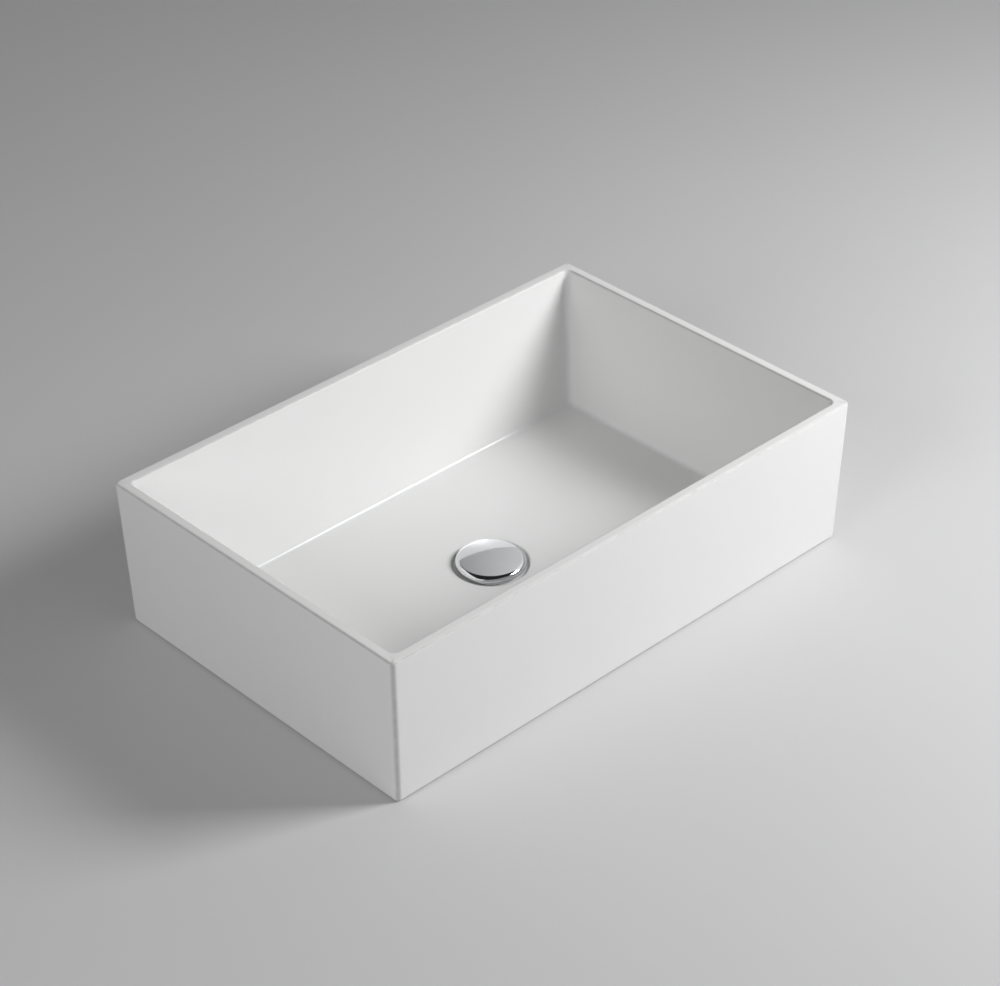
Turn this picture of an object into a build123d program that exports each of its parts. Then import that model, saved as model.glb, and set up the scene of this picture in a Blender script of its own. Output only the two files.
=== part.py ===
from build123d import *
from math import asin, cos, radians, sin, sqrt, tan
import os

# Rectangular basin that stands on a counter, with its click waste, in millimetres.
# The origin is on the drain axis, in the plane of the counter. +X runs along the long
# side, +Y points to the back and +Z points up.

# Ceramic shell
basin_length = 560.0
basin_width = 366.0
basin_height = 149.0
skirt_lean = 4.0
outer_corner_radius = 5.0
rim_thickness = 10.0
rim_rounding = 2.5
foot_rounding = 3.0
skirt_thickness = 8.0
bowl_thickness = 8.5
underside_rounding = 6.0
hollow_headroom = 42.0

# Bowl
end_wall_angle = 12.1
side_wall_angle = 14.6
bowl_corner_radius = 6.5
floor_rounding = 6.0
floor_height = 16.0
floor_fall = 3.0
drain_pad_margin = 4.0

# Drain in the ceramic
recess_radius = 35.2
recess_depth = 3.0
recess_lip_radius = 3.0
drain_hole_radius = 23.0
boss_radius = 46.0
boss_underside_height = 3.5

# Waste body, with the outside radius of a G 1 1/4 pipe thread
thread_radius = 20.955
waste_bore_radius = 17.5
waste_length = 80.0
flange_radius = 32.0
flange_thickness = 1.8
flange_chamfer = 1.0
seat_width = 4.5
relief_depth = 1.2
relief_width = 3.0
relief_drop = 3.0
tail_chamfer = 1.5
spider_arm_count = 3
spider_arm_width = 3.0
spider_hub_radius = 8.0
spider_height = 8.0

# Seals, washer and nut
gasket_thickness = 1.0
gasket_margin = 1.0
lower_seal_radius = 31.0
lower_seal_thickness = 3.0
lower_seal_spigot = 3.5
slip_washer_radius = 30.0
slip_washer_thickness = 1.2
back_nut_across_flats = 50.0
back_nut_height = 9.0
nut_chamfer_angle = 30.0

# Plug
cap_radius = 33.25
cap_edge_height = 0.8
cap_shoulder_radius = 5.0
cap_crown_radius = 177.0
cap_plateau_radius = 21.5
cap_groove_depth = 2.6
cap_groove_margin = 2.8
plug_seal_thickness = 2.8
stem_radius = 4.0
stem_flange_radius = 9.0
stem_flange_thickness = 1.2
stem_thread_length = 5.0
lift = 9.0

# Click cartridge
housing_radius = 7.0
housing_bore_radius = 5.2
housing_floor_thickness = 3.0
housing_stud_radius = 4.0
stud_projection = 1.3
gland_head_height = 2.5
gland_spigot_height = 2.0
shoulder_thickness = 1.5
stem_pin_radius = 2.5
stem_tip_length = 0.8
rotor_height = 6.0
rotor_pin_radius = 1.2
rotor_pin_recess = 0.4
rotor_pin_count = 2
turn_per_lift = 45.0
clip_thickness = 0.8
clip_radius = 4.4
clip_groove_radius = 1.9
clip_mouth = 2.6
spring_length = 13.0
spring_wire = 1.0
spring_mean_radius = 3.7
spring_turns = 4.0
lock_nut_across_flats = 13.0
lock_nut_height = 5.0

# Clearances
thread_clearance = 0.05
running_clearance = 0.08
thrust_clearance = 0.1
moving_clearance = 0.3
seal_clearance = 0.2
seat_clearance = 0.3
cap_clearance = 0.5
gland_clearance = 3.0
track_clearance = 0.4
overcut = 1.0

# Levels, from the ceramic seat of the waste upwards and downwards
seat_level = floor_height - recess_depth
flange_underside = seat_level + gasket_thickness
flange_top = flange_underside + flange_thickness
tail_end = flange_top - waste_length
seat_outer_radius = waste_bore_radius + seat_width
seat_foot = flange_top - seat_width
lower_seal_underside = boss_underside_height - lower_seal_thickness
slip_washer_underside = lower_seal_underside - slip_washer_thickness
back_nut_underside = slip_washer_underside - back_nut_height
relief_top = back_nut_underside - relief_drop
relief_foot = relief_top - relief_width
cap_underside = flange_top + cap_clearance
plateau_level = cap_underside
plug_seal_underside = plateau_level - plug_seal_thickness
stem_flange_underside = plug_seal_underside - stem_flange_thickness
gland_top = stem_flange_underside - gland_clearance
housing_top = gland_top - gland_head_height
gland_foot = housing_top - gland_spigot_height
shoulder_top = gland_foot - lift - moving_clearance
rotor_top = shoulder_top - shoulder_thickness - thrust_clearance
rotor_foot = rotor_top - rotor_height
clip_top = rotor_foot - thrust_clearance
clip_foot = clip_top - clip_thickness
stem_tip = clip_foot - stem_tip_length
spring_top = clip_foot - thrust_clearance
housing_bore_floor = spring_top - spring_length
housing_foot = housing_bore_floor - housing_floor_thickness
spider_foot = housing_foot - spider_height
lock_nut_foot = spider_foot - lock_nut_height
stud_foot = lock_nut_foot - stud_projection
track_foot = (rotor_top + rotor_foot) / 2


def outer_size(height, inset):
    """Length and width of the skirt's outside at a height, less an inset all round."""
    lean = skirt_lean * (1 - height / basin_height)
    return basin_length - 2 * (lean + inset), basin_width - 2 * (lean + inset)


def bowl_size(height, skin):
    """Length and width of the bowl's inside at a height, plus a skin square to its walls."""
    depth = basin_height - height
    end_inset = rim_thickness + depth * tan(radians(end_wall_angle))
    side_inset = rim_thickness + depth * tan(radians(side_wall_angle))
    end_skin = skin / cos(radians(end_wall_angle))
    side_skin = skin / cos(radians(side_wall_angle))
    return basin_length - 2 * (end_inset - end_skin), basin_width - 2 * (side_inset - side_skin)


def leaning_block(foot, foot_size, top, top_size, corner_radius=0):
    """A block with four flat leaning sides between two heights, sharp or rounded where they meet."""
    with BuildPart() as block:
        for profile_plane, crossing, side in ((Plane.XZ, 1, 0), (Plane.YZ, 0, 1)):
            foot_half = foot_size[side] / 2
            top_half = top_size[side] / 2
            with BuildSketch(profile_plane):
                with BuildLine():
                    Polyline(
                        (-foot_half, foot),
                        (foot_half, foot),
                        (top_half, top),
                        (-top_half, top),
                        close=True,
                    )
                make_face()
            reach = max(foot_size[crossing], top_size[crossing])
            extrude(amount=reach, both=True, mode=Mode.INTERSECT if side else Mode.ADD)
        if corner_radius:
            fillet(block.edges().filter_by(lambda edge: abs((edge % 0).Z) > 0.5), corner_radius)
    return block.part


def arc_point(centre, radius, tilt):
    """The point on an upper arc where it leans by a tilt from the level."""
    return centre[0] + radius * sin(tilt), centre[1] + radius * cos(tilt)


def turned(points):
    """A solid turned about the drain axis from (radius, height) points."""
    with BuildPart() as solid:
        with BuildSketch(Plane.XZ):
            with BuildLine():
                Polyline(*points, close=True)
            make_face()
        revolve(axis=Axis.Z)
    return solid.part


def ring(foot, top, inner_radius, outer_radius):
    """A flat ring about the drain axis."""
    return turned(
        [(inner_radius, foot), (outer_radius, foot), (outer_radius, top), (inner_radius, top)]
    )


def hexagon_nut(foot, height, across_flats, bore_radius):
    """A hexagon nut with its corners turned off at the lower end, away from what it clamps."""
    reach = across_flats / sqrt(3) + overcut
    chamfer_top = foot + (reach - across_flats / 2) * tan(radians(nut_chamfer_angle))
    envelope = turned(
        [
            (0, foot),
            (across_flats / 2, foot),
            (reach, chamfer_top),
            (reach, foot + height),
            (0, foot + height),
        ]
    )
    with BuildPart() as nut:
        with BuildSketch(Plane.XY.offset(foot)):
            RegularPolygon(radius=across_flats / 2, side_count=6, major_radius=False)
            Circle(bore_radius, mode=Mode.SUBTRACT)
        extrude(amount=height)
        add(envelope, mode=Mode.INTERSECT)
    return nut.part


def write(part, name):
    """Names a finished piece and writes its file."""
    part.label = name
    export_step(part, f"parts/{name}.step")


os.makedirs("parts", exist_ok=True)

# The space inside the bowl: leaning walls down to a level border, and a floor that falls
# from there to a flat pad round the drain
lip_radius = recess_radius + recess_lip_radius
floor_edge = floor_height + floor_fall
border_size = [side - 2 * floor_rounding for side in bowl_size(floor_edge, 0)]
pad_side = 2 * (lip_radius + drain_pad_margin)
with BuildPart() as bowl_space:
    add(
        leaning_block(
            floor_edge,
            bowl_size(floor_edge, 0),
            basin_height + overcut,
            bowl_size(basin_height + overcut, 0),
            bowl_corner_radius,
        )
    )
    fillet(bowl_space.faces().sort_by(Axis.Z)[0].edges(), floor_rounding)
    add(leaning_block(floor_height, (pad_side, pad_side), floor_edge, border_size))

# The space under the bowl, inside the skirt and round the boss
hollow_top = basin_height - hollow_headroom
hollow_block = leaning_block(
    -overcut,
    outer_size(-overcut, skirt_thickness),
    hollow_top,
    outer_size(hollow_top, skirt_thickness),
    outer_corner_radius,
)
bowl_underside = floor_height - bowl_thickness
bowl_outside = leaning_block(
    bowl_underside,
    bowl_size(bowl_underside, bowl_thickness),
    hollow_top + overcut,
    bowl_size(hollow_top + overcut, bowl_thickness),
    bowl_corner_radius + bowl_thickness,
)
with BuildPart() as rounded_bowl_outside:
    add(bowl_outside)
    fillet(rounded_bowl_outside.faces().sort_by(Axis.Z)[0].edges(), underside_rounding)
with BuildPart() as hollow:
    add(hollow_block)
    add(rounded_bowl_outside.part, mode=Mode.SUBTRACT)
    with BuildSketch(Plane.XY.offset(boss_underside_height)):
        Circle(boss_radius)
    extrude(amount=bowl_thickness, mode=Mode.SUBTRACT)

with BuildPart() as basin:
    add(
        leaning_block(
            0, outer_size(0, 0), basin_height, outer_size(basin_height, 0), outer_corner_radius
        )
    )
    add(bowl_space.part, mode=Mode.SUBTRACT)
    fillet(basin.faces().sort_by(Axis.Z)[-1].edges(), rim_rounding)
    fillet(basin.faces().sort_by(Axis.Z)[0].edges(), foot_rounding)
    add(hollow.part, mode=Mode.SUBTRACT)
    with BuildSketch(Plane.XZ):
        with BuildLine():
            Line((0, seat_level), (recess_radius, seat_level))
            RadiusArc(
                (recess_radius, seat_level), (lip_radius, floor_height), recess_lip_radius
            )
            Polyline(
                (lip_radius, floor_height),
                (lip_radius, floor_height + overcut),
                (0, floor_height + overcut),
                (0, seat_level),
            )
        make_face()
    revolve(axis=Axis.Z, mode=Mode.SUBTRACT)
    with BuildSketch(Plane.XY.offset(seat_level)):
        Circle(drain_hole_radius)
    extrude(amount=-floor_height, mode=Mode.SUBTRACT)
write(basin.part, "basin")

# Waste body: flange, plug seat, threaded tail with a relief, and the spider in its bore
with BuildPart() as waste_body:
    with BuildSketch(Plane.XZ):
        with BuildLine():
            Polyline(
                (flange_radius, flange_top - flange_chamfer),
                (flange_radius, flange_underside),
                (thread_radius, flange_underside),
                (thread_radius, relief_top),
                (thread_radius - relief_depth, relief_top),
                (thread_radius - relief_depth, relief_foot),
                (thread_radius, relief_foot),
                (thread_radius, tail_end + tail_chamfer),
                (thread_radius - tail_chamfer, tail_end),
                (waste_bore_radius, tail_end),
                (waste_bore_radius, seat_foot),
                (seat_outer_radius, flange_top),
                (flange_radius - flange_chamfer, flange_top),
                close=True,
            )
        make_face()
    revolve(axis=Axis.Z)
    arm_length = waste_bore_radius + overcut
    with BuildSketch(Plane.XY.offset(spider_foot)):
        Circle(spider_hub_radius)
        with PolarLocations(arm_length / 2, spider_arm_count, start_angle=180):
            Rectangle(arm_length, spider_arm_width)
        Circle(housing_stud_radius + thread_clearance, mode=Mode.SUBTRACT)
    extrude(amount=spider_height)
write(waste_body.part, "waste_body")

with BuildPart() as flange_gasket:
    add(
        ring(
            seat_level,
            flange_underside,
            drain_hole_radius + seal_clearance,
            flange_radius - gasket_margin,
        )
    )
write(flange_gasket.part, "flange_gasket")

# The lower seal's spigot centres the tail in the drain hole
seal_bore_radius = thread_radius + seal_clearance
spigot_radius = drain_hole_radius - seal_clearance
spigot_top = boss_underside_height + lower_seal_spigot
with BuildPart() as lower_seal:
    add(
        turned(
            [
                (seal_bore_radius, lower_seal_underside),
                (lower_seal_radius, lower_seal_underside),
                (lower_seal_radius, boss_underside_height),
                (spigot_radius, boss_underside_height),
                (spigot_radius, spigot_top),
                (seal_bore_radius, spigot_top),
            ]
        )
    )
write(lower_seal.part, "lower_seal")

with BuildPart() as slip_washer:
    add(ring(slip_washer_underside, lower_seal_underside, seal_bore_radius, slip_washer_radius))
write(slip_washer.part, "slip_washer")

with BuildPart() as back_nut:
    add(
        hexagon_nut(
            back_nut_underside,
            back_nut_height,
            back_nut_across_flats,
            thread_radius + thread_clearance,
        )
    )
write(back_nut.part, "back_nut")

# Plug cap: a low spherical crown and a shoulder turned in two bevels, grooved underneath
shoulder_centre = (cap_radius - cap_shoulder_radius, cap_underside + cap_edge_height)
crown_tilt = asin(shoulder_centre[0] / (cap_crown_radius - cap_shoulder_radius))
crown_centre_height = shoulder_centre[1] - (cap_crown_radius - cap_shoulder_radius) * cos(
    crown_tilt
)
crown_edge = arc_point(shoulder_centre, cap_shoulder_radius, crown_tilt)
bevel_break = arc_point(shoulder_centre, cap_shoulder_radius, (crown_tilt + radians(90)) / 2)
bevel_slope = (crown_edge[1] - bevel_break[1]) / (bevel_break[0] - crown_edge[0])
with BuildPart() as plug_cap:
    with BuildSketch(Plane.XZ):
        with BuildLine():
            Polyline(
                (cap_radius, shoulder_centre[1]),
                (cap_radius, cap_underside),
                (cap_radius - cap_groove_margin, cap_underside),
                (cap_radius - cap_groove_margin, cap_underside + cap_groove_depth),
                (cap_plateau_radius, cap_underside + cap_groove_depth),
                (cap_plateau_radius, plateau_level),
                (stem_radius + thread_clearance, plateau_level),
                (stem_radius + thread_clearance, plateau_level + stem_thread_length),
                (0, plateau_level + stem_thread_length),
                (0, crown_edge[1] + bevel_slope * crown_edge[0]),
                bevel_break,
                close=True,
            )
        make_face()
    revolve(axis=Axis.Z)
    with Locations((0, 0, crown_centre_height)):
        Sphere(cap_crown_radius, rotation=(90, 0, 0), mode=Mode.INTERSECT)
write(plug_cap.part, "plug_cap")

# Plug seal: its bevel lies along the waste's seat, a clearance away
bevel_offset = seat_clearance * sqrt(2)
bevel_foot_radius = waste_bore_radius + plug_seal_underside - seat_foot - bevel_offset
plug_seal_radius = seat_outer_radius - cap_clearance - bevel_offset
bevel_top = plug_seal_underside + plug_seal_radius - bevel_foot_radius
with BuildPart() as plug_seal:
    add(
        turned(
            [
                (stem_radius + seal_clearance, plug_seal_underside),
                (bevel_foot_radius, plug_seal_underside),
                (plug_seal_radius, bevel_top),
                (plug_seal_radius, plateau_level),
                (stem_radius + seal_clearance, plateau_level),
            ]
        )
    )
write(plug_seal.part, "plug_seal")

# Plunger: thread into the cap, flange under the seal, guided shaft, shoulder and rotor pin
shoulder_radius = housing_bore_radius - moving_clearance
stem_top = plateau_level + stem_thread_length - moving_clearance
with BuildPart() as plug_stem:
    add(
        turned(
            [
                (0, stem_top),
                (stem_radius, stem_top),
                (stem_radius, plug_seal_underside),
                (stem_flange_radius, plug_seal_underside),
                (stem_flange_radius, stem_flange_underside),
                (stem_radius, stem_flange_underside),
                (stem_radius, shoulder_top),
                (shoulder_radius, shoulder_top),
                (shoulder_radius, shoulder_top - shoulder_thickness),
                (stem_pin_radius, shoulder_top - shoulder_thickness),
                (stem_pin_radius, clip_top),
                (clip_groove_radius, clip_top),
                (clip_groove_radius, clip_foot),
                (stem_pin_radius, clip_foot),
                (stem_pin_radius, stem_tip),
                (0, stem_tip),
            ]
        )
    )
write(plug_stem.part, "plug_stem")

with BuildPart() as stem_clip:
    with BuildSketch(Plane.XY.offset(clip_foot)):
        Circle(clip_radius)
        Circle(clip_groove_radius + thread_clearance, mode=Mode.SUBTRACT)
        with Locations((clip_radius / 2, 0)):
            Rectangle(clip_radius, clip_mouth, mode=Mode.SUBTRACT)
    extrude(amount=clip_thickness)
write(stem_clip.part, "stem_clip")

# Cutter for one track: the way that a rotor pin takes through the housing's wall
track_radius = rotor_pin_radius + track_clearance
track_middle = (housing_bore_radius + housing_radius) / 2
track_depth = housing_radius - housing_bore_radius + 2 * overcut
track_pitch = lift * 360 / turn_per_lift
with BuildPart() as track_cutter:
    with BuildLine():
        track_line = Helix(pitch=track_pitch, height=lift, radius=track_middle)
    with BuildSketch(Plane(track_line @ 0, x_dir=(1, 0, 0), z_dir=track_line % 0)):
        Rectangle(track_depth, 2 * track_radius)
    sweep(is_frenet=True)
    for end in (0, 1):
        track_end = track_line @ end
        outwards = Vector(track_end.X, track_end.Y, 0)
        with BuildSketch(Plane(track_end - outwards.normalized() * track_depth / 2, z_dir=outwards)):
            Circle(track_radius)
        extrude(amount=track_depth)

with BuildPart() as click_housing:
    add(
        turned(
            [
                (0, stud_foot),
                (housing_stud_radius, stud_foot),
                (housing_stud_radius, housing_foot),
                (housing_radius, housing_foot),
                (housing_radius, housing_top),
                (housing_bore_radius, housing_top),
                (housing_bore_radius, housing_bore_floor),
                (0, housing_bore_floor),
            ]
        )
    )
    with Locations((0, 0, track_foot)):
        with PolarLocations(0, rotor_pin_count):
            add(track_cutter.part, mode=Mode.SUBTRACT)
write(click_housing.part, "click_housing")

with BuildPart() as housing_gland:
    add(
        turned(
            [
                (stem_radius + running_clearance, gland_foot),
                (housing_bore_radius - thread_clearance, gland_foot),
                (housing_bore_radius - thread_clearance, housing_top),
                (housing_radius, housing_top),
                (housing_radius, gland_top),
                (stem_radius + running_clearance, gland_top),
            ]
        )
    )
write(housing_gland.part, "housing_gland")

rotor_radius = housing_bore_radius - moving_clearance
rotor_pin_reach = housing_radius - rotor_pin_recess
with BuildPart() as click_rotor:
    with BuildSketch(Plane.XY.offset(rotor_foot)):
        Circle(rotor_radius)
    extrude(amount=rotor_height)
    with BuildSketch(Plane.YZ.offset(-rotor_pin_reach)):
        with Locations((0, track_foot)):
            Circle(rotor_pin_radius)
    extrude(amount=2 * rotor_pin_reach)
    with BuildSketch(Plane.XY.offset(rotor_foot)):
        Circle(stem_pin_radius + running_clearance)
    extrude(amount=rotor_height, mode=Mode.SUBTRACT)
write(click_rotor.part, "click_rotor")

# Compression spring, drawn as long as it is with the plug shut
spring_rise = spring_length - spring_wire
with BuildPart() as click_spring:
    with BuildLine(Plane.XY.offset(housing_bore_floor + spring_wire / 2)):
        spring_line = Helix(
            pitch=spring_rise / spring_turns, height=spring_rise, radius=spring_mean_radius
        )
    with BuildSketch(Plane(spring_line @ 0, x_dir=(1, 0, 0), z_dir=spring_line % 0)):
        RegularPolygon(radius=spring_wire / 2, side_count=6)
    sweep(is_frenet=True)
write(click_spring.part, "click_spring")
spring_gap = spring_rise / spring_turns - spring_wire
print(f"least gap between the spring's turns {spring_gap:.2f} mm")

with BuildPart() as housing_lock_nut:
    add(
        hexagon_nut(
            lock_nut_foot,
            lock_nut_height,
            lock_nut_across_flats,
            housing_stud_radius + thread_clearance,
        )
    )
write(housing_lock_nut.part, "housing_lock_nut")
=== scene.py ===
from functools import partial
from math import asin, atan2, cos, hypot, pi, radians, sin, tan

import bmesh
import bpy
import numpy as np
from mathutils import Matrix, Vector


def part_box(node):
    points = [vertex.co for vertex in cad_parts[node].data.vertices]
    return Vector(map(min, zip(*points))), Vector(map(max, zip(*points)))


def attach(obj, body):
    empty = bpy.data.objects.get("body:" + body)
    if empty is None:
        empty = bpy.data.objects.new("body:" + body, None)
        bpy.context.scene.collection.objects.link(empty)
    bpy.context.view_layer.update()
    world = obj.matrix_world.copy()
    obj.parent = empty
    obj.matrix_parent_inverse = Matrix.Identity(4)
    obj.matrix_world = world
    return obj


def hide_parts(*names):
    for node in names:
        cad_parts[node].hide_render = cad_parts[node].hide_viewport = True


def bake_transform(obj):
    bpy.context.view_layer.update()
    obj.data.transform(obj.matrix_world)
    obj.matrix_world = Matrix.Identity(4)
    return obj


# Countertop basin with its click waste. Sizes below are in millimetres, and each mesh is
# brought to metres when it is made. The origin is on the drain axis, in the counter's plane.
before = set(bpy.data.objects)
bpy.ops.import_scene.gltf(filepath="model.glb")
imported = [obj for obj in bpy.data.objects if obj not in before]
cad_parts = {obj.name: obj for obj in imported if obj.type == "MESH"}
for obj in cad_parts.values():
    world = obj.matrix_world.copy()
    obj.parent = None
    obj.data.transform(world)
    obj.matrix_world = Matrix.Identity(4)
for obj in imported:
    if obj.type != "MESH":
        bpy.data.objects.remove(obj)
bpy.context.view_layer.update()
MM = 0.001

basin_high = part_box("basin")[1]
waste_low, waste_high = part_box("waste_body")
cap_low, cap_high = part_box("plug_cap")
spring_low, spring_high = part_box("click_spring")

# Ceramic shell
basin_height = basin_high.z / MM
skirt_lean = 4.0
outer_corner = 5.0
rim_thickness = 10.0
rim_rounding = 2.5
foot_rounding = 3.0
foot_inner_rounding = 0.8
skirt_thickness = 8.0
bowl_thickness = 8.5
underside_rounding = 6.0
hollow_rounding = 0.45
hollow_below_rim = 42.0
hollow_top = basin_height - hollow_below_rim
end_wall_slope = tan(radians(12.1))
side_wall_slope = tan(radians(14.6))
bowl_corner = 6.5
floor_rounding = 6.0
floor_height = 16.0
floor_fall = 3.0
floor_edge = floor_height + floor_fall
pad_half = 42.2
pad_softness = 0.03
crease_softness = 0.3
drying_bow = 0.3
lean_at_rounding = skirt_lean * rim_rounding / basin_height
half_length = basin_high.x / MM + lean_at_rounding
half_width = basin_high.y / MM + lean_at_rounding

# Drain in the ceramic
seat_level = 13.0
recess_radius = 35.2
recess_lip = 2.7
recess_foot_rounding = 0.3
hole_radius = 23.0
hole_rounding = 0.8
boss_radius = 46.0
boss_underside = 3.5
boss_rounding = 1.5

# Waste body and its pipe thread
thread_crest = 20.955
thread_root = 19.476
thread_pitch = 2.309
thread_fade = 2.0
thread_foot_radius = 20.2
flange_radius = waste_high.x / MM
flange_top = waste_high.z / MM
flange_underside = 14.0
flange_edge = 0.9
flange_lower_edge = 0.2
waste_edge = 0.3
tail_end = waste_low.z / MM
tail_chamfer = 1.5
bore_radius = 17.5
seat_width = 4.5
seat_lip = 0.5
seat_foot_rounding = 0.8
relief_radius = 19.755
relief_top = -12.7
relief_foot = -15.7
thread_end = 8.0
spider_top = -29.1
spider_foot = -37.1
spider_hub = 8.0
spider_bore = 4.05
spider_arms = 3
spider_arm_width = 3.0
spider_sink = 0.4

# Plug cap
cap_radius = cap_high.x / MM
cap_top = cap_high.z / MM
cap_underside = cap_low.z / MM
cap_crown = 177.0
cap_shoulder = 5.0
cap_edge = 0.8
cap_inner_edge = 0.3
groove_rounding = 0.5
groove_outer = 30.45
groove_inner = 21.5
groove_top = 18.9
socket_radius = 4.05
socket_top = 21.3

# Spring
spring_wire = 1.0
spring_radius = 3.7
spring_turns = 5.6
spring_closed_turns = 0.8
spring_foot = spring_low.z / MM
spring_top = spring_high.z / MM

# Points of the shell's loops, which run round the basin
corner_points = 9
short_side_points = 33
long_side_points = 45
corner_support = 1.5
wall_support = 0.8
least_corner = 0.4
arc_steps = 8
floor_rings = 14
floor_ring_crowding = 0.8
loop_points = 4 * corner_points + 2 * short_side_points + 2 * long_side_points


def in_scene(name, data):
    """An object at the origin with its mesh, lamp or camera."""
    made = bpy.data.objects.new(name, data)
    bpy.context.scene.collection.objects.link(made)
    return made


def mesh_from(name, points, faces):
    """A mesh in metres from points in millimetres."""
    mesh = bpy.data.meshes.new(name)
    mesh.from_pydata([Vector(point) * MM for point in points], [], faces)
    return mesh


def weld(name, meshes, finish, reach=0.005):
    """One smooth closed piece from meshes whose borders meet within a reach in millimetres."""
    work = bmesh.new()
    for mesh in meshes:
        work.from_mesh(mesh)
    bmesh.ops.remove_doubles(work, verts=work.verts, dist=reach * MM)
    bmesh.ops.recalc_face_normals(work, faces=work.faces)
    mesh = bpy.data.meshes.new(name)
    work.to_mesh(mesh)
    work.free()
    mesh.materials.append(finish)
    mesh.shade_smooth()
    return in_scene(name, mesh)


def piece_from(name, points, faces, finish, attributes=()):
    """A smooth closed piece from points in millimetres, with values on its points."""
    mesh = mesh_from(name + "_points", points, faces)
    for label, values in dict(attributes).items():
        layer = mesh.attributes.new(label, "FLOAT", "POINT")
        layer.data.foreach_set("value", np.asarray(values, np.float32))
    return weld(name, [mesh], finish, reach=0.002)


def settle(piece, body, slot, *stands_for):
    """Puts a finished piece on its body and in place of its plain solids. The slot is not used."""
    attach(piece, body)
    if stands_for:
        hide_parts(*stands_for)


def rounded_path(corners, support=0.0):
    """Points along a path whose inner corners are rounded. A corner is (x, y, rounding)."""
    path = []
    for before, corner, after in zip(corners, corners[1:], corners[2:]):
        apex = Vector(corner[:2])
        rounding = corner[2]
        if not rounding:
            path.append(tuple(apex))
            continue
        back = (Vector(before[:2]) - apex).normalized()
        onward = (Vector(after[:2]) - apex).normalized()
        half_turn = back.angle(onward) / 2
        reach = rounding / tan(half_turn)
        centre = apex + (back + onward).normalized() * rounding / sin(half_turn)
        spoke = apex + back * reach - centre
        last_spoke = apex + onward * reach - centre
        sweep = atan2(spoke.x * last_spoke.y - spoke.y * last_spoke.x, spoke.dot(last_spoke))
        if support:
            path.append(tuple(apex + back * (reach + support)))
        for step in range(arc_steps + 1):
            path.append(tuple(centre + Matrix.Rotation(sweep * step / arc_steps, 2) @ spoke))
        if support:
            path.append(tuple(apex + onward * (reach + support)))
    return path


def lathe(profile, segments, closed=False):
    """Points and faces turned about the drain axis from an open or closed (radius, height) profile."""
    rows = len(profile)
    points, faces = [], []
    for step in range(segments):
        angle = 2 * pi * step / segments
        points += [(r * cos(angle), r * sin(angle), z) for r, z in profile]
        here = step * rows
        there = (step + 1) % segments * rows
        for row in range(rows if closed else rows - 1):
            after = (row + 1) % rows
            faces.append((here + row, there + row, there + after, here + after))
    return points, faces


# Nodes, for materials and for geometry


def add_node(tree, kind, inputs=(), **settings):
    """A node with its settings, its values and the sockets that feed it."""
    made = tree.nodes.new(kind)
    for setting, value in settings.items():
        setattr(made, setting, value)
    for socket, value in dict(inputs).items():
        if isinstance(value, bpy.types.NodeSocket):
            tree.links.new(value, made.inputs[socket])
        else:
            made.inputs[socket].default_value = value
    return made


def arithmetic(tree, operation, *values):
    """The result of a Math node on numbers or sockets."""
    made = add_node(tree, "ShaderNodeMath", dict(enumerate(values)), operation=operation)
    return made.outputs[0]


class Finish:
    """A material in the making: a surface shader and the nodes that feed it."""

    def __init__(self, name, shader_values):
        self.material = bpy.data.materials.new(name)
        self.material.use_nodes = True
        self.tree = self.material.node_tree
        self.shader = self.tree.nodes["Principled BSDF"]
        for socket, value in shader_values.items():
            self.shader.inputs[socket].default_value = value
        self.place = self.node("ShaderNodeTexCoord").outputs["Object"]

    def node(self, kind, inputs=(), **settings):
        return add_node(self.tree, kind, inputs, **settings)

    def math(self, operation, *values):
        return arithmetic(self.tree, operation, *values)

    def noise(self, size, detail=2.0, place=None):
        """Noise from 0 to 1 whose features are about a size in millimetres across."""
        inputs = {"Vector": place or self.place, "Scale": 1 / (size * MM), "Detail": detail}
        return self.node("ShaderNodeTexNoise", inputs).outputs[0]

    def spread(self, value, low, high, start=0.3, end=0.7):
        """A value brought from start and end to low and high."""
        inputs = {"Value": value, "From Min": start, "From Max": end, "To Min": low, "To Max": high}
        return self.node("ShaderNodeMapRange", inputs).outputs[0]

    def attribute(self, name):
        return self.node("ShaderNodeAttribute", attribute_name=name).outputs["Fac"]

    def tint(self, share, first, second):
        """A colour between two others, or between two colour sockets."""
        inputs = {0: share}
        for socket, colour in ((6, first), (7, second)):
            inputs[socket] = colour if isinstance(colour, bpy.types.NodeSocket) else (*colour, 1)
        return self.node("ShaderNodeMix", inputs, data_type="RGBA").outputs[2]

    def round_the_axis(self):
        """Coordinates of radius and height alone, in which a lathe's marks run round."""
        parts = self.node("ShaderNodeSeparateXYZ", {0: self.place})
        squares = [self.math("MULTIPLY", parts.outputs[axis], parts.outputs[axis]) for axis in (0, 1)]
        radius = self.math("SQRT", self.math("ADD", *squares))
        return self.node("ShaderNodeCombineXYZ", {0: radius, 2: parts.outputs[2]}).outputs[0]

    def relief(self, height, depth, strength=1.0, under=None):
        """Adds raised relief with a depth in millimetres, over the relief under it."""
        inputs = {"Height": height, "Distance": depth * MM, "Strength": strength}
        if under:
            inputs["Normal"] = under
        return self.node("ShaderNodeBump", inputs).outputs[0]

    def wear(self, **sockets):
        """Feeds the shader's sockets and gives back the finished material."""
        for socket, source in sockets.items():
            self.tree.links.new(source, self.shader.inputs[socket.replace("_", " ")])
        return self.material


# Finishes


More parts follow.
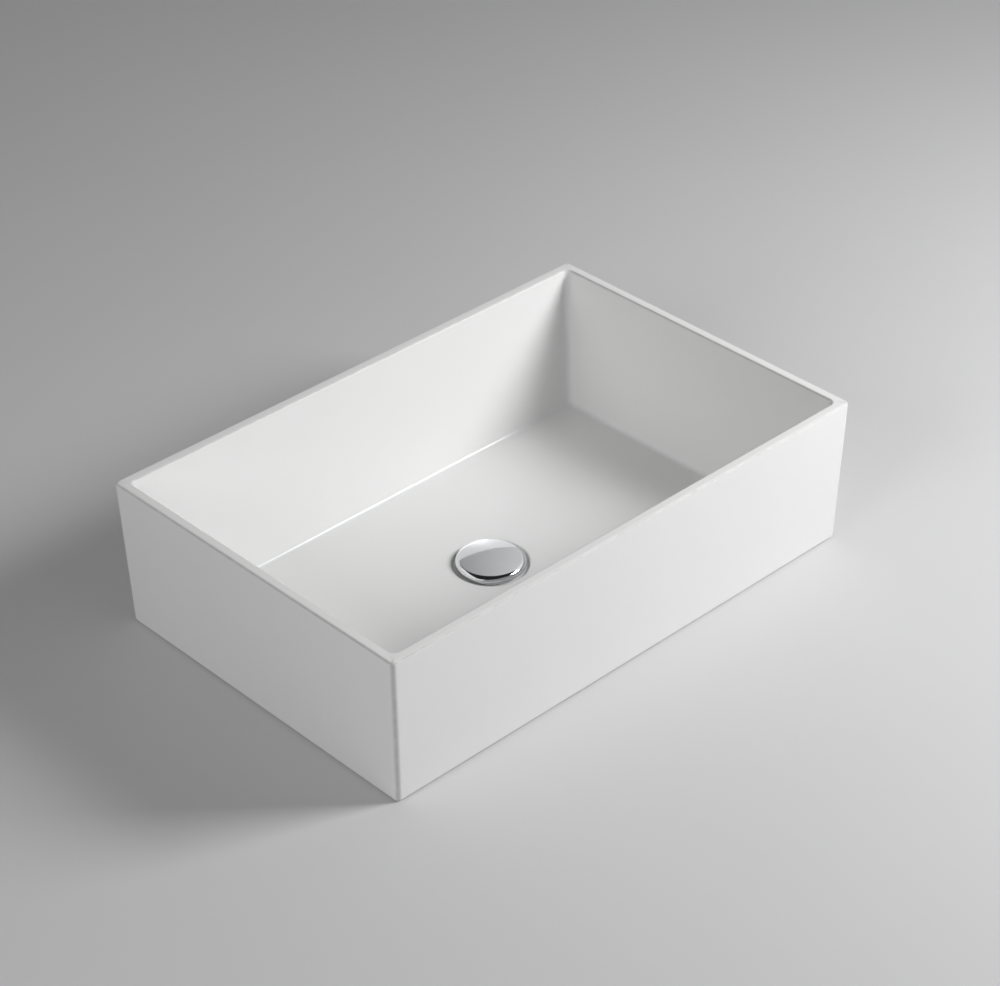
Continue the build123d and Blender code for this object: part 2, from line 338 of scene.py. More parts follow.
def white_glaze():
    """Fired white glaze: faint clouds and ripple, thinner on edges where a darker grey is painted on as
    painted shade, pooled in hollows, bare at the foot.
    """
    finish = Finish("white_glaze_on_fireclay", {"IOR": 1.5, "Specular IOR Level": 0.34})
    clouds = finish.noise(160, 3)
    body = finish.tint(clouds, (0.815, 0.818, 0.815), (0.845, 0.845, 0.838))
    # Rims, outer corners and the foot's rounding are painted a darker grey: painted shade along the
    # edges, on top of the thinner, rougher glaze there.
    edge = finish.math("POWER", finish.attribute("glaze_thin_and_edge_shade"), 2.0)
    thin_and_shaded = finish.math("MULTIPLY", edge, finish.spread(finish.noise(9), 0.7, 1))
    thinned_and_shaded = finish.tint(thin_and_shaded, body, (0.56, 0.56, 0.55))
    pool = finish.attribute("glaze_pool")
    pooled = finish.tint(finish.math("MULTIPLY", pool, 0.6), thinned_and_shaded, (0.79, 0.80, 0.80))
    height = finish.node("ShaderNodeSeparateXYZ", {0: finish.place}).outputs[2]
    ragged = finish.spread(finish.noise(4, 4), 0.5 * MM, 1.5 * MM)
    foot = finish.math("LESS_THAN", height, ragged)
    bare = finish.math("MAXIMUM", foot, finish.attribute("glaze_bare"))
    grain = finish.noise(0.7, 5)
    fireclay = finish.tint(grain, (0.60, 0.56, 0.49), (0.72, 0.68, 0.61))
    colour = finish.tint(bare, pooled, fireclay)
    gloss = finish.spread(finish.noise(35, 3), 0.17, 0.24)
    dulled = finish.math("ADD", gloss, finish.math("MULTIPLY", thin_and_shaded, 0.3))
    roughness = finish.math("MAXIMUM", dulled, finish.math("MULTIPLY", bare, 0.85))
    ripple = finish.relief(finish.noise(70, 1), 0.12)
    peel = finish.relief(finish.noise(3.5, 1), 0.004, 1.0, ripple)
    tooth = finish.relief(finish.math("MULTIPLY", grain, bare), 0.12, 1.0, peel)
    return finish.wear(Base_Color=colour, Roughness=roughness, Normal=tooth)


def polished_chrome():
    """Bright plating with faint polishing marks and dried water haze."""
    finish = Finish("polished_chrome", {"Metallic": 1.0})
    haze = finish.noise(14, 4)
    colour = finish.tint(haze, (0.70, 0.71, 0.73), (0.76, 0.77, 0.78))
    rings = finish.noise(0.5, 2, finish.round_the_axis())
    marks = finish.spread(rings, 0.0, 0.03)
    roughness = finish.math("ADD", finish.spread(haze, 0.045, 0.09), marks)
    polish = finish.relief(finish.noise(18, 1), 0.015)
    return finish.wear(Base_Color=colour, Roughness=roughness, Normal=polish)


def turned_brass():
    """Raw brass off the lathe: tool rings, slight tarnish."""
    finish = Finish("turned_brass", {"Metallic": 1.0})
    rings = finish.noise(0.35, 2, finish.round_the_axis())
    tarnish = finish.noise(5, 4)
    fresh = finish.tint(rings, (0.66, 0.47, 0.20), (0.80, 0.60, 0.29))
    colour = finish.tint(finish.spread(tarnish, 0, 0.6), fresh, (0.42, 0.27, 0.11))
    roughness = finish.math("ADD", finish.spread(tarnish, 0.18, 0.34), finish.spread(rings, 0, 0.08))
    return finish.wear(Base_Color=colour, Roughness=roughness, Normal=finish.relief(rings, 0.012))


def black_rubber():
    """Moulded sealing rubber with a grey bloom and a fine matt skin."""
    finish = Finish("black_seal_rubber", {"Specular IOR Level": 0.35})
    bloom = finish.noise(6, 4)
    skin = finish.noise(0.25, 3)
    colour = finish.tint(finish.spread(bloom, 0, 1), (0.018, 0.018, 0.019), (0.05, 0.05, 0.048))
    roughness = finish.spread(bloom, 0.5, 0.72)
    return finish.wear(Base_Color=colour, Roughness=roughness, Normal=finish.relief(skin, 0.02))


def white_nylon():
    """Moulded nylon, slightly milky, with flow marks."""
    finish = Finish("natural_nylon", {"Subsurface Weight": 0.15, "Subsurface Scale": 0.002})
    flow = finish.noise(3, 3, finish.round_the_axis())
    colour = finish.tint(flow, (0.74, 0.73, 0.68), (0.80, 0.79, 0.75))
    roughness = finish.spread(finish.noise(1.2, 3), 0.34, 0.5)
    return finish.wear(Base_Color=colour, Roughness=roughness, Normal=finish.relief(flow, 0.02))


def spring_steel():
    """Drawn steel wire and strip with fine scratches and light oxide."""
    finish = Finish("drawn_spring_steel", {"Metallic": 1.0})
    oxide = finish.noise(1.6, 4)
    scratches = finish.noise(0.12, 2)
    colour = finish.tint(finish.spread(oxide, 0, 1), (0.42, 0.41, 0.40), (0.60, 0.60, 0.61))
    roughness = finish.spread(oxide, 0.22, 0.42)
    return finish.wear(Base_Color=colour, Roughness=roughness, Normal=finish.relief(scratches, 0.006))


# Ceramic shell

half_sizes = (half_length, half_width)
bowl_slopes = (end_wall_slope, side_wall_slope)


def skirt_outside(side, height):
    """Half size of the skirt's outside at a height, along X for side 0 and along Y for side 1."""
    return half_sizes[side] - skirt_lean * (1 - height / basin_height)


def skirt_inside(side, height):
    """Half size of the space inside the skirt at a height."""
    return skirt_outside(side, height) - skirt_thickness


def bowl_inside(side, height):
    """Half size of the bowl at a height."""
    return half_sizes[side] - rim_thickness - (basin_height - height) * bowl_slopes[side]


def bowl_outside(side, height):
    """Half size of the bowl's outer skin at a height, below the rim."""
    return bowl_inside(side, height) + bowl_thickness * hypot(1, bowl_slopes[side])


def along_side(count, length):
    """Places along a straight side: one beside each corner, the others evenly spaced."""
    inner = np.linspace(-length, length, count)[1:-1]
    return np.concatenate(([corner_support - length], inner, [length - corner_support]))


def rectangle_loop(end_half, end_height, side_half, side_height, corner):
    """A loop round the basin with rounded corners. Its end and side walls may differ in height."""
    loop = []
    straight = (end_half - corner, side_half - corner)
    for turn in range(4):
        sense = 1 if turn < 2 else -1
        if turn % 2:
            places = along_side(long_side_points, straight[0])
            loop += [(-sense * x, sense * side_half, side_height) for x in places]
        else:
            places = along_side(short_side_points, straight[1])
            loop += [(sense * end_half, sense * y, end_height) for y in places]
        quadrant = Matrix.Rotation(turn * pi / 2, 2) @ Vector((1, 1))
        for step in range(corner_points):
            angle = (turn + step / (corner_points - 1)) * pi / 2
            x = straight[0] * quadrant.x + corner * cos(angle)
            y = straight[1] * quadrant.y + corner * sin(angle)
            end_share = cos(angle) ** 2
            loop.append((x, y, end_height * end_share + side_height * (1 - end_share)))
    return np.array(loop)


def circle_loop(radius, height):
    """A round loop about the drain, in step with the loops round the basin."""
    angles = 2 * pi * (np.arange(loop_points) - short_side_points // 2) / loop_points
    heights = np.full(loop_points, height)
    return np.stack((radius * np.cos(angles), radius * np.sin(angles), heights), axis=1)


def corner_weights():
    """How near each point of a loop is to the middle of an upright corner, from 0 to 1."""
    swell = np.sin(np.linspace(0, pi, corner_points))
    sides = (short_side_points, long_side_points) * 2
    return np.concatenate([part for count in sides for part in (np.zeros(count), swell)])


class Skin:
    """The casting's skin: loops in order, and where its glaze thins and takes painted edge shade, pools
    or is missing.
    """

    def __init__(self):
        self.loops = []
        self.marks = {"glaze_thin_and_edge_shade": [], "glaze_pool": [], "glaze_bare": []}

    def add(self, loop, edge_mark=None, edge_weight=0.0, corner_mark=None):
        self.loops.append(loop)
        for label, values in self.marks.items():
            weights = np.zeros(loop_points)
            if label == edge_mark:
                weights = np.maximum(weights, edge_weight)
            if label == corner_mark:
                weights = np.maximum(weights, corner_weights())
            values.append(weights)

    def add_walls(self, stations, support=0.0):
        """Follows a section round the basin. A station is (wall, height, rounding, corner, marks)."""
        paths = []
        for side in (0, 1):
            corners = [(wall(side, z), z, rounding) for wall, z, rounding, corner, marks in stations]
            paths.append(rounded_path(corners, support))
        arc = [sin(pi * step / arc_steps) for step in range(arc_steps + 1)]
        weights = [0, *arc, 0] if support else arc
        rows = [(station, weight) for station in stations[1:-1] for weight in weights]
        for end_point, side_point, (station, weight) in zip(*paths, rows):
            wall, z, rounding, corner, marks = station
            growth = (end_point[0] - wall(0, end_point[1]) + side_point[0] - wall(1, side_point[1])) / 2
            loop = rectangle_loop(*end_point, *side_point, max(corner + growth, least_corner))
            self.add(loop, marks[0], 1.0 if marks[0] == "glaze_bare" else weight, marks[1])

    def add_circles(self, corners, marks):
        """Follows a section about the drain, with a mark for each rounded corner."""
        for index, (radius, height) in enumerate(rounded_path(corners)):
            self.add(circle_loop(radius, height), marks[index // (arc_steps + 1)], 1.0)

    def add_between(self, first, last, shares, level, mark=None):
        """Loops between two others, with their heights given by a function."""
        for share in shares:
            loop = first + (last - first) * share
            loop[:, 2] = level(loop)
            self.add(loop, mark, 1.0)

    def piece(self, name, finish):
        """The closed mesh, with the slight inward bow that long walls take as they dry."""
        points = np.concatenate(self.loops)
        fullness = 1 - (points[:, 0] / half_length) ** 2
        lift = points[:, 2] / basin_height
        outwards = np.clip(points[:, 1] / half_width, -1, 1) ** 3
        points[:, 1] -= drying_bow * fullness * lift * outwards
        faces = []
        for row in range(len(self.loops)):
            here = row * loop_points
            there = (row + 1) % len(self.loops) * loop_points
            for column in range(loop_points):
                after = (column + 1) % loop_points
                faces.append((here + column, here + after, there + after, there + column))
        attributes = {label: np.concatenate(values) for label, values in self.marks.items()}
        return piece_from(name, points, faces, finish, attributes)


def floor_level(points):
    """Heights of the bowl's floor: four soft falls from its edge to a level pad."""
    reach = np.array([bowl_inside(side, floor_edge) - floor_rounding for side in (0, 1)])
    shares = (np.abs(points[:, :2]) - pad_half) / (reach - pad_half)
    spread = shares.max(axis=1) - shares.min(axis=1)
    crease = crease_softness * np.clip(shares.max(axis=1) * (1 - shares.max(axis=1)), 0, 1)
    share = 0.5 * (shares.sum(axis=1) + np.sqrt(spread**2 + crease**2))
    eased = 0.5 * (share + np.sqrt(share**2 + pad_softness**2))
    return floor_height + (floor_edge - floor_height) * np.clip(eased, 0, 1)


def level_at(height):
    """A level surface at a height, for loops between others."""
    return lambda points: np.full(len(points), height)


def drain_axis(side, height):
    """The middle of the basin, for sections that start or end on it."""
    return 0.0


def make_basin(finish):
    """One casting: foot, skirt, rim, bowl, falling floor, recess, drain hole, boss and hollow."""
    # The edge mark on rims, outer corners and the foot's rounding also paints shade there, on top of the
    # thinner glaze.
    thin_and_shaded, pool, bare = "glaze_thin_and_edge_shade", "glaze_pool", "glaze_bare"
    skin = Skin()
    skin.add_walls(
        [
            (skirt_inside, hollow_top, 0, outer_corner, (bare, None)),
            (skirt_inside, 0, foot_inner_rounding, outer_corner, (bare, None)),
            (skirt_outside, 0, foot_rounding, outer_corner, (thin_and_shaded, thin_and_shaded)),
            (skirt_outside, basin_height, rim_rounding, outer_corner, (thin_and_shaded, thin_and_shaded)),
            (bowl_inside, basin_height, rim_rounding, bowl_corner, (thin_and_shaded, pool)),
            (bowl_inside, floor_edge, floor_rounding, bowl_corner, (pool, pool)),
            (drain_axis, floor_edge, 0, 0, (None, None)),
        ],
        wall_support,
    )
    lip_top = recess_radius + recess_lip
    lip = circle_loop(lip_top + wall_support, floor_height)
    shares = [(ring / floor_rings) ** floor_ring_crowding for ring in range(1, floor_rings + 1)]
    skin.add_between(skin.loops[-1], lip, shares, floor_level)
    bowl_underside = floor_height - bowl_thickness
    skin.add_circles(
        [
            (lip_top * 2, floor_height),
            (recess_radius, floor_height, recess_lip),
            (recess_radius, seat_level, recess_foot_rounding),
            (hole_radius, seat_level, hole_rounding),
            (hole_radius, boss_underside, hole_rounding),
            (boss_radius, boss_underside, boss_rounding),
            (boss_radius, bowl_underside, boss_rounding),
            (boss_radius * 2, bowl_underside),
        ],
        [None, pool, None, bare, bare, bare],
    )
    outer_bowl_corner = bowl_corner + bowl_thickness
    hidden = (bare, None)
    hollow = Skin()
    hollow.add_walls(
        [
            (drain_axis, bowl_underside, 0, 0, hidden),
            (bowl_outside, bowl_underside, underside_rounding, outer_bowl_corner, hidden),
            (bowl_outside, hollow_top, hollow_rounding, outer_bowl_corner, hidden),
            (skirt_inside, hollow_top, hollow_rounding, outer_corner, hidden),
            (skirt_inside, 0, 0, outer_corner, hidden),
        ]
    )
    underside_shares = (0.15, 0.5, 0.85)
    underside = level_at(bowl_underside)
    skin.add_between(skin.loops[-1], hollow.loops[0], underside_shares, underside, bare)
    skin.loops += hollow.loops
    for label, values in hollow.marks.items():
        skin.marks[label] += values
    settle(skin.piece("ceramic_basin", finish), "basin_and_waste", "white_glaze", "basin")


# Plug cap and waste


def make_plug_cap(finish):
    """The dome: a low spherical crown that rolls into a round shoulder, grooved underneath."""
    shoulder_centre = (cap_radius - cap_shoulder, cap_underside + cap_edge)
    crown_tilt = asin(shoulder_centre[0] / (cap_crown - cap_shoulder))
    crown_centre = cap_top - cap_crown
    crown_steps = 12
    shoulder_steps = 2 * arc_steps
    segments = 128
    profile = []
    for step in range(crown_steps):
        tilt = crown_tilt * step / crown_steps
        profile.append((cap_crown * sin(tilt), crown_centre + cap_crown * cos(tilt)))
    for step in range(shoulder_steps + 1):
        tilt = crown_tilt + (pi / 2 - crown_tilt) * step / shoulder_steps
        spoke = (cap_shoulder * sin(tilt), cap_shoulder * cos(tilt))
        profile.append((shoulder_centre[0] + spoke[0], shoulder_centre[1] + spoke[1]))
    profile += rounded_path(
        [
            (cap_radius, shoulder_centre[1]),
            (cap_radius, cap_underside, cap_inner_edge),
            (groove_outer, cap_underside, cap_inner_edge),
            (groove_outer, groove_top, groove_rounding),
            (groove_inner, groove_top, groove_rounding),
            (groove_inner, cap_underside, cap_inner_edge),
            (socket_radius, cap_underside, cap_inner_edge),
            (socket_radius, socket_top, cap_inner_edge),
            (0, socket_top),
        ]
    )
    profile.append((0, socket_top))
    dome = piece_from("plug_dome", *lathe(profile, segments, closed=True), finish)
    settle(dome, "plug", "chrome", "plug_cap")


def new_tree(name, result, sizes, counts=()):
    """An empty geometry tree, the identifiers of its named inputs, and the inputs themselves."""
    tree = bpy.data.node_groups.new(name, "GeometryNodeTree")
    kinds = dict.fromkeys(sizes, "NodeSocketFloat")
    kinds["Finish"] = "NodeSocketMaterial"
    kinds.update(dict.fromkeys(counts, "NodeSocketInt"))
    identifiers = {}
    for label, kind in kinds.items():
        made = tree.interface.new_socket(label, in_out="INPUT", socket_type=kind)
        identifiers[label] = made.identifier
    tree.interface.new_socket(result, in_out="OUTPUT", socket_type="NodeSocketGeometry")
    return tree, identifiers, tree.nodes.new("NodeGroupInput").outputs


def wound_about_axis(tree, geometry, radius, angle, height):
    """A geometry with its points moved to places about the drain axis."""
    x = arithmetic(tree, "MULTIPLY", radius, arithmetic(tree, "COSINE", angle))
    y = arithmetic(tree, "MULTIPLY", radius, arithmetic(tree, "SINE", angle))
    place = add_node(tree, "ShaderNodeCombineXYZ", {0: x, 1: y, 2: height}).outputs[0]
    inputs = {"Geometry": geometry, "Position": place}
    return add_node(tree, "GeometryNodeSetPosition", inputs).outputs[0]


def finish_geometry(tree, geometry, finish):
    """Ends a tree: instances made real, smooth, with a material."""
    real = add_node(tree, "GeometryNodeRealizeInstances", {0: geometry})
    smooth = add_node(tree, "GeometryNodeSetShadeSmooth", {0: real.outputs[0]})
    inputs = {"Geometry": smooth.outputs[0], "Material": finish}
    painted = add_node(tree, "GeometryNodeSetMaterial", inputs)
    add_node(tree, "NodeGroupOutput", {0: painted.outputs[0]})


def grown(name, tree, identifiers, values):
    """The plain mesh that a geometry tree makes from named values."""
    seed = in_scene(name, bpy.data.meshes.new(name + "_seed"))
    modifier = seed.modifiers.new("growth", "NODES")
    modifier.node_group = tree
    for label, value in values.items():
        modifier[identifiers[label]] = value
    evaluated = seed.evaluated_get(bpy.context.evaluated_depsgraph_get())
    mesh = bpy.data.meshes.new_from_object(evaluated)
    seed.modifiers.clear()
    bpy.data.objects.remove(seed)
    return mesh


def thread_skin():
    """Geometry nodes for a screw thread's skin, faded out at both of its ends."""
    sizes = ("Foot", "Top", "Crest", "Root", "Pitch", "Foot Radius", "Top Radius", "Fade")
    tree, identifiers, given = new_tree("thread_skin", "Skin", sizes, ("Columns", "Rows"))
    math = partial(arithmetic, tree)
    inputs = {"Size X": 1.0, "Size Y": 1.0, "Vertices X": given["Columns"], "Vertices Y": given["Rows"]}
    grid = add_node(tree, "GeometryNodeMeshGrid", inputs)
    position = add_node(tree, "GeometryNodeInputPosition")
    parts = add_node(tree, "ShaderNodeSeparateXYZ", {0: position.outputs[0]})
    round_share = math("ADD", parts.outputs[0], 0.5)
    up_share = math("ADD", parts.outputs[1], 0.5)
    length = math("SUBTRACT", given["Top"], given["Foot"])
    height = math("ADD", given["Foot"], math("MULTIPLY", up_share, length))
    turns = math("SUBTRACT", math("DIVIDE", height, given["Pitch"]), round_share)
    wave = math("ABSOLUTE", math("SUBTRACT", math("MULTIPLY", math("FRACT", turns), 2.0), 1.0))
    flat_share = 0.1
    inputs = {
        "Value": wave,
        "From Min": flat_share,
        "From Max": 1 - flat_share,
        "To Min": given["Root"],
        "To Max": given["Crest"],
    }
    flank = add_node(tree, "ShaderNodeMapRange", inputs, interpolation_type="SMOOTHSTEP")
    radius = flank.outputs[0]
    foot_distance = math("MULTIPLY", up_share, length)
    top_distance = math("SUBTRACT", length, foot_distance)
    for distance, plain in ((foot_distance, given["Foot Radius"]), (top_distance, given["Top Radius"])):
        share = math("MINIMUM", math("DIVIDE", distance, given["Fade"]), 1.0)
        radius = math("ADD", plain, math("MULTIPLY", math("SUBTRACT", radius, plain), share))
    angle = math("MULTIPLY", round_share, 2 * pi)
    wound = wound_about_axis(tree, grid.outputs["Mesh"], radius, angle, height)
    inputs = {"Geometry": wound, "Distance": 0.001 * MM}
    closed = add_node(tree, "GeometryNodeMergeByDistance", inputs)
    finish_geometry(tree, closed.outputs[0], given["Finish"])
    return tree, identifiers


def make_waste(finish):
    """The waste: lathe-turned flange, seat and bore, a relief and two lengths of pipe thread."""
    columns = 96
    rows_per_turn = 12
    seat_outer = bore_radius + seat_width
    seat_foot = flange_top - seat_width
    tail_root = thread_crest - tail_chamfer
    tail_thread_foot = tail_end + tail_chamfer
    upper = rounded_path(
        [
            (thread_crest, thread_end - 1),
            (thread_crest, thread_end, 0),
            (thread_crest, flange_underside, waste_edge),
            (flange_radius, flange_underside, flange_lower_edge),
            (flange_radius, flange_top, flange_edge),
            (seat_outer, flange_top, seat_lip),
            (bore_radius, seat_foot, seat_foot_rounding),
            (bore_radius, tail_end, waste_edge),
            (tail_root, tail_end, waste_edge),
            (thread_foot_radius, tail_thread_foot, 0),
            (thread_foot_radius, tail_thread_foot + 1),
        ]
    )
    relief = rounded_path(
        [
            (relief_radius, relief_foot - 1),
            (relief_radius, relief_foot, 0),
            (relief_radius, relief_top, 0),
            (relief_radius, relief_top + 1),
        ]
    )
    tree, identifiers = thread_skin()
    skins = [mesh_from("turned", *lathe(profile, columns)) for profile in (upper, relief)]
    for foot, top, foot_radius, top_radius in (
        (tail_thread_foot, relief_foot, thread_foot_radius, relief_radius),
        (relief_top, thread_end, relief_radius, thread_crest),
    ):
        values = {
            "Foot": foot * MM,
            "Top": top * MM,
            "Crest": thread_crest * MM,
            "Root": thread_root * MM,
            "Pitch": thread_pitch * MM,
            "Foot Radius": foot_radius * MM,
            "Top Radius": top_radius * MM,
            "Fade": thread_fade * MM,
            "Finish": finish,
            "Columns": columns + 1,
            "Rows": int((top - foot) / thread_pitch * rows_per_turn) + 1,
        }
        skins.append(grown("thread", tree, identifiers, values))
    settle(weld("waste_tail", skins, finish), "basin_and_waste", "chrome", "waste_body")


def make_spider(finish):
    """The cast spider in the waste's bore: a hub with three arms that carries the cartridge."""
    hub_half_steps = 5
    bore_steps = 48
    arm_spacing = 2 * pi / spider_arms
    arm_half_turn = asin(spider_arm_width / 2 / spider_hub)
    outline = []
    for arm in range(spider_arms):
        middle = (arm + 0.5) * arm_spacing
        for step in range(-hub_half_steps, hub_half_steps + 1):
            angle = middle + (arm_spacing / 2 - arm_half_turn) * step / hub_half_steps
            outline.append((spider_hub * cos(angle), spider_hub * sin(angle)))
        arm_angle = middle + arm_spacing / 2
        along = Vector((cos(arm_angle), sin(arm_angle)))
        across = Vector((-sin(arm_angle), cos(arm_angle))) * spider_arm_width / 2
        for side in (-1, 1):
            outline.append(tuple(along * (bore_radius + spider_sink) + across * side))
    angles = [2 * pi * step / bore_steps for step in range(bore_steps)]
    bore = [(spider_bore * cos(angle), spider_bore * sin(angle)) for angle in angles]
    work = bmesh.new()
    top, foot, bore_top, bore_foot = (
        [work.verts.new(Vector((x, y, level)) * MM) for x, y in ring]
        for ring in (outline, bore)
        for level in (spider_top, spider_foot)
    )
    for upper, lower in ((top, foot), (bore_top, bore_foot)):
        for here in range(len(upper)):
            after = (here + 1) % len(upper)
            work.faces.new((upper[here], upper[after], lower[after], lower[here]))
    for face_rings in ((top, bore_top), (foot, bore_foot)):
        edges = [
            work.edges.get((ring[here], ring[(here + 1) % len(ring)]))
            for ring in face_rings
            for here in range(len(ring))
        ]
        bmesh.ops.triangle_fill(work, edges=edges, use_beauty=True)
    bmesh.ops.recalc_face_normals(work, faces=work.faces)
    mesh = bpy.data.meshes.new("waste_spider")
    work.to_mesh(mesh)
    work.free()
    mesh.materials.append(finish)
    settle(in_scene("waste_spider", mesh), "basin_and_waste", "chrome")


def coil_tree():
    """Geometry nodes for a compression spring whose end turns lie closed."""
    sizes = ("Foot", "Top", "Wire", "Radius", "Turns", "Closed Turns")
    tree, identifiers, given = new_tree("closed_end_coil", "Spring", sizes)
    math = partial(arithmetic, tree)
    steps_per_turn = 40
    wire_sides = 12
    count = math("MULTIPLY", given["Turns"], steps_per_turn)
    line = add_node(tree, "GeometryNodeMeshLine", {"Count": count})
    index = add_node(tree, "GeometryNodeInputIndex").outputs[0]
    turn = math("DIVIDE", index, steps_per_turn)
    last_open = math("SUBTRACT", given["Turns"], given["Closed Turns"])
    closed_rise = math("MULTIPLY", given["Closed Turns"], given["Wire"])
    rise = math("SUBTRACT", math("SUBTRACT", given["Top"], given["Foot"]), given["Wire"])
    open_rise = math("SUBTRACT", rise, math("MULTIPLY", closed_rise, 2.0))
    height = math("ADD", given["Foot"], math("MULTIPLY", given["Wire"], 0.5))
    for start, end, gain in (
        (0.0, given["Closed Turns"], closed_rise),
        (given["Closed Turns"], last_open, open_rise),
        (last_open, given["Turns"], closed_rise),
    ):
        inputs = {"Value": turn, "From Min": start, "From Max": end, "To Max": gain}
        stretch = add_node(tree, "ShaderNodeMapRange", inputs)
        height = math("ADD", height, stretch.outputs[0])
    angle = math("MULTIPLY", turn, 2 * pi)
    wound = wound_about_axis(tree, line.outputs[0], given["Radius"], angle, height)
    route = add_node(tree, "GeometryNodeMeshToCurve", {0: wound})
    inputs = {"Resolution": wire_sides, "Radius": math("MULTIPLY", given["Wire"], 0.5)}
    section = add_node(tree, "GeometryNodeCurvePrimitiveCircle", inputs)
    inputs = {"Curve": route.outputs[0], "Profile Curve": section.outputs[0], "Fill Caps": True}
    tube = add_node(tree, "GeometryNodeCurveToMesh", inputs)
    finish_geometry(tree, tube.outputs[0], given["Finish"])
    return tree, identifiers


def make_spring(finish):
    """The spring under the plunger, made at one length; the real one lengthens as the plug rises."""
    tree, identifiers = coil_tree()
    values = {
        "Foot": spring_foot * MM,
        "Top": spring_top * MM,
        "Wire": spring_wire * MM,
        "Radius": spring_radius * MM,
        "Turns": spring_turns,
        "Closed Turns": spring_closed_turns,
        "Finish": finish,
    }
    spring = weld("coil_spring", [grown("coil", tree, identifiers, values)], finish)
    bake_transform(spring)
    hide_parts("click_spring")


def dress_solids(finishes):
    """Gives each CAD solid that stays its own finish."""
    cartridge = ("click_housing", "housing_gland", "click_rotor", "housing_lock_nut")
    solids = {
        "brass": ("back_nut", "plug_stem", *cartridge),
        "black_rubber": ("flange_gasket", "lower_seal", "plug_seal"),
        "white_plastic": ("slip_washer",),
        "spring_steel": ("stem_clip",),
    }
    for slot, names in solids.items():
        for name in names:
            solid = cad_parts[name]
            solid.data.materials.clear()
            solid.data.materials.append(finishes[slot])


# Stage, light and camera, with places in metres

bowl_middle = Vector((0, 0, 0.08))
camera_place = Vector((-1.4106, -1.5096, 1.4905))
camera_target = Vector((0.0127, 0, 0.0873))
camera_roll = radians(-0.65)
camera_lens = 99.31
camera_sensor = 36


def pale_floor():
    """A level floor with a round hole for the waste's tail."""
    finish = Finish("pale_floor", {"Roughness": 0.85, "Specular IOR Level": 0.2})
    colour = finish.tint(finish.noise(300, 3), (0.62, 0.62, 0.63), (0.64, 0.64, 0.645))
    far_edge, hole_edge = 9000, 32
    profile = [(radius, 0) for radius in (far_edge, 600, 60, hole_edge)]
    mesh = mesh_from("floor", *lathe(profile, 64))
    mesh.materials.append(finish.wear(Base_Color=colour))
    in_scene("floor", mesh)


def plain_world(ambient):
    """A white background whose light on the object stays at a plain level."""
    world = bpy.data.worlds.new("studio")
    world.use_nodes = True
    bpy.context.scene.world = world
    tree = world.node_tree
    rays = add_node(tree, "ShaderNodeLightPath").outputs
    seen = arithmetic(tree, "MAXIMUM", rays["Is Camera Ray"], rays["Is Glossy Ray"])
    seen = arithmetic(tree, "MAXIMUM", seen, rays["Is Transmission Ray"])
    inputs = {"Value": seen, "To Min": ambient, "To Max": 1.0}
    strength = add_node(tree, "ShaderNodeMapRange", inputs)
    background = tree.nodes["Background"]
    background.inputs["Color"].default_value = (1, 1, 1, 1)
    tree.links.new(strength.outputs[0], background.inputs["Strength"])


def area_lamp(name, place, size, power, mirrored=True):
    """A soft square lamp at a place, turned towards the bowl."""
    data = bpy.data.lights.new(name, "AREA")
    data.size = size
    data.energy = power
    lamp = in_scene(name, data)
    lamp.location = place
    lamp.rotation_euler = (Vector(place) - bowl_middle).to_track_quat("Z", "Y").to_euler()
    lamp.visible_glossy = mirrored


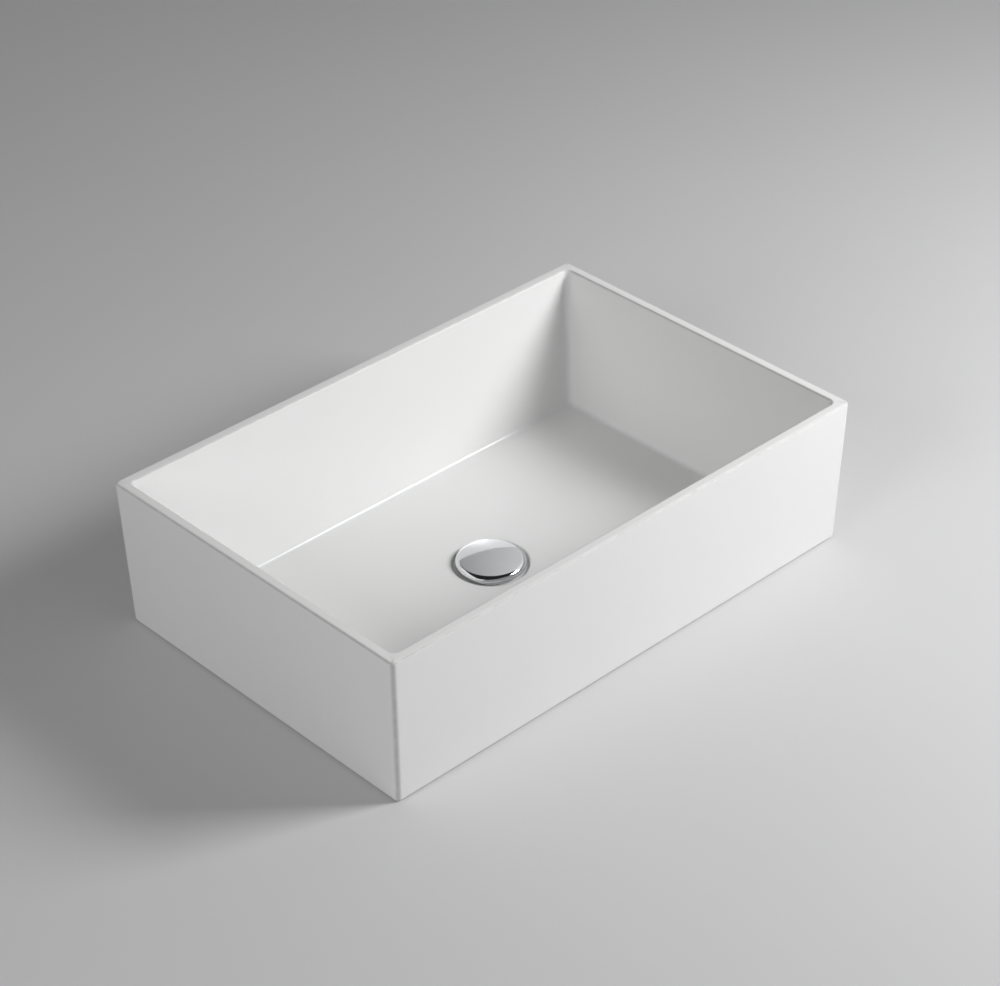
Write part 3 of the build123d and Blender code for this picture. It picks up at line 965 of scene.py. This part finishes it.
def reflection_card(name, direction, distance, width, height, near_glow, far_glow):
    """A card that only reflections see, whose brightness changes from its left to its right."""
    card = Finish(name, {"Base Color": (0, 0, 0, 1), "Roughness": 1.0, "Specular IOR Level": 0.0})
    card.shader.inputs["Emission Strength"].default_value = 1.0
    across = card.attribute("across")
    glow = card.tint(across, (near_glow,) * 3, (far_glow,) * 3)
    facing = Vector(direction).to_track_quat("Z", "Y")
    centre = bowl_middle + Vector(direction).normalized() * distance
    signs = ((-1, -1), (1, -1), (1, 1), (-1, 1))
    corners = [Vector((x * width / 2, y * height / 2, 0)) for x, y in signs]
    mesh = bpy.data.meshes.new(name)
    mesh.from_pydata([centre + facing @ corner for corner in corners], [], [(0, 1, 2, 3)])
    layer = mesh.attributes.new("across", "FLOAT", "POINT")
    layer.data.foreach_set("value", [0.0, 1.0, 1.0, 0.0])
    mesh.materials.append(card.wear(Emission_Color=glow))
    flag = in_scene(name, mesh)
    flag.visible_camera = False
    flag.visible_diffuse = False
    flag.visible_shadow = False
    flag.visible_transmission = False


def set_camera():
    """The photograph's view, with its slight roll."""
    data = bpy.data.cameras.new("camera")
    data.sensor_width = camera_sensor
    data.lens = camera_lens
    camera = in_scene("camera", data)
    ahead = (camera_target - camera_place).normalized()
    right = ahead.cross(Vector((0, 0, 1))).normalized()
    up = right.cross(ahead)
    rolled_right = right * cos(camera_roll) + up * sin(camera_roll)
    rolled_up = up * cos(camera_roll) - right * sin(camera_roll)
    turn = Matrix((rolled_right, rolled_up, -ahead)).transposed()
    camera.matrix_world = Matrix.Translation(camera_place) @ turn.to_4x4()
    bpy.context.scene.camera = camera


finishes = {
    "white_glaze": white_glaze(),
    "chrome": polished_chrome(),
    "brass": turned_brass(),
    "black_rubber": black_rubber(),
    "white_plastic": white_nylon(),
    "spring_steel": spring_steel(),
}
make_basin(finishes["white_glaze"])
make_plug_cap(finishes["chrome"])
make_waste(finishes["chrome"])
make_spider(finishes["chrome"])
make_spring(finishes["spring_steel"])
dress_solids(finishes)

pale_floor()
plain_world(ambient=0.15)
area_lamp("key", (1.22, -1.10, 1.15), size=0.7, power=34.5)
area_lamp("fill", (-2.6, -0.5, 1.5), size=1.2, power=25, mirrored=False)
reflection_card("grey_card", (0.568, 0.608, 0.62), 1.5, 2.2, 1.5, near_glow=1.0, far_glow=0.08)
reflection_card("dark_card", (-0.24, -0.26, 0.93), 1.3, 2.6, 2.9, near_glow=0.02, far_glow=0.02)
set_camera()
bpy.context.scene.view_settings.view_transform = "Standard"
